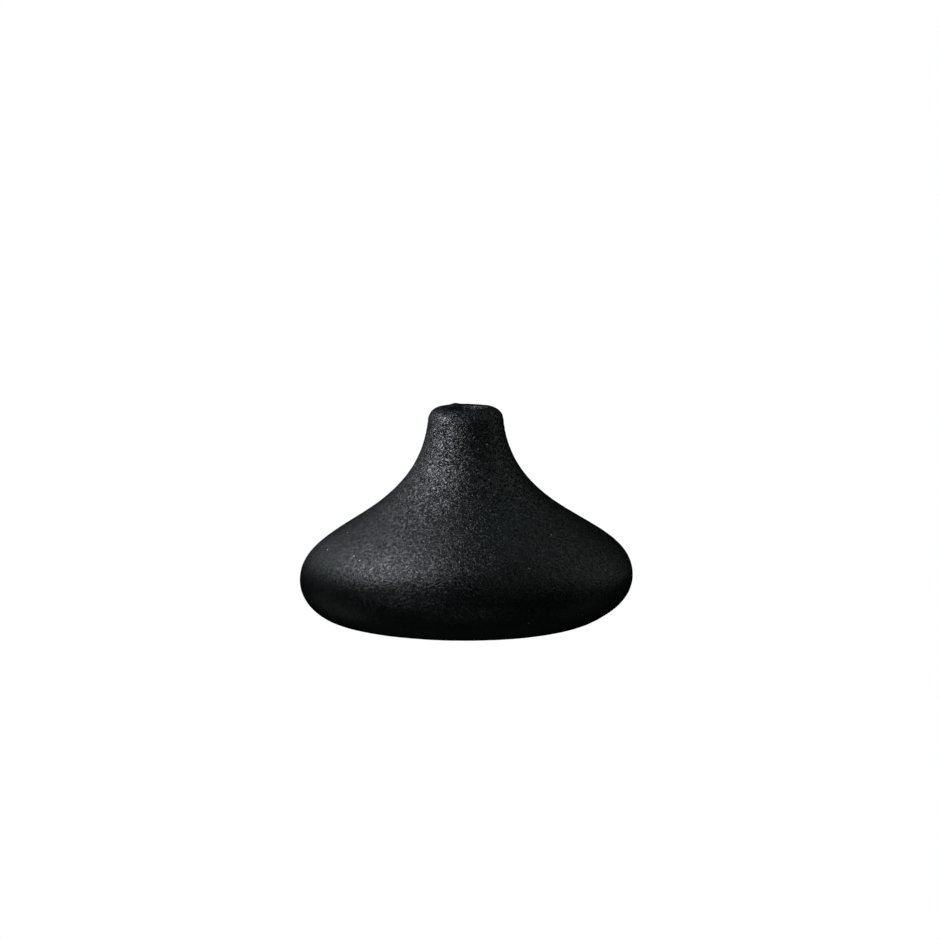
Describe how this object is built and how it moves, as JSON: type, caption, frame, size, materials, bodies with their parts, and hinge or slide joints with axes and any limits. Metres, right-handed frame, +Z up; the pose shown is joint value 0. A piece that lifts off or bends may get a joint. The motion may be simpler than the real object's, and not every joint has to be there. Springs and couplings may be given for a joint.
{
  "type": "bud vase",
  "caption": "Squat bud vase: wide flattened belly, concave shoulder, short narrow neck with a rounded lip and a bare foot ring.",
  "frame": {"origin": "centre of the foot ring, on the surface that the vase stands on", "axes": "+Z up along the axis of the vase, out of the mouth"},
  "size_m": [0.125, 0.125, 0.0817],
  "materials": {
    "fired_clay": "bare fired stoneware, turned",
    "fired_slip": "bare fired slip",
    "matt_black_glaze": "matt, pebbled",
    "dark_liner_glaze": "satin"
  },
  "bodies": {
    "root": {"stoneware_body": "fired_clay", "stoneware_neck": "fired_clay", "luting_slip": "fired_slip", "outer_glaze": "matt_black_glaze", "liner_glaze": "dark_liner_glaze"}
  },
  "joints": []
}
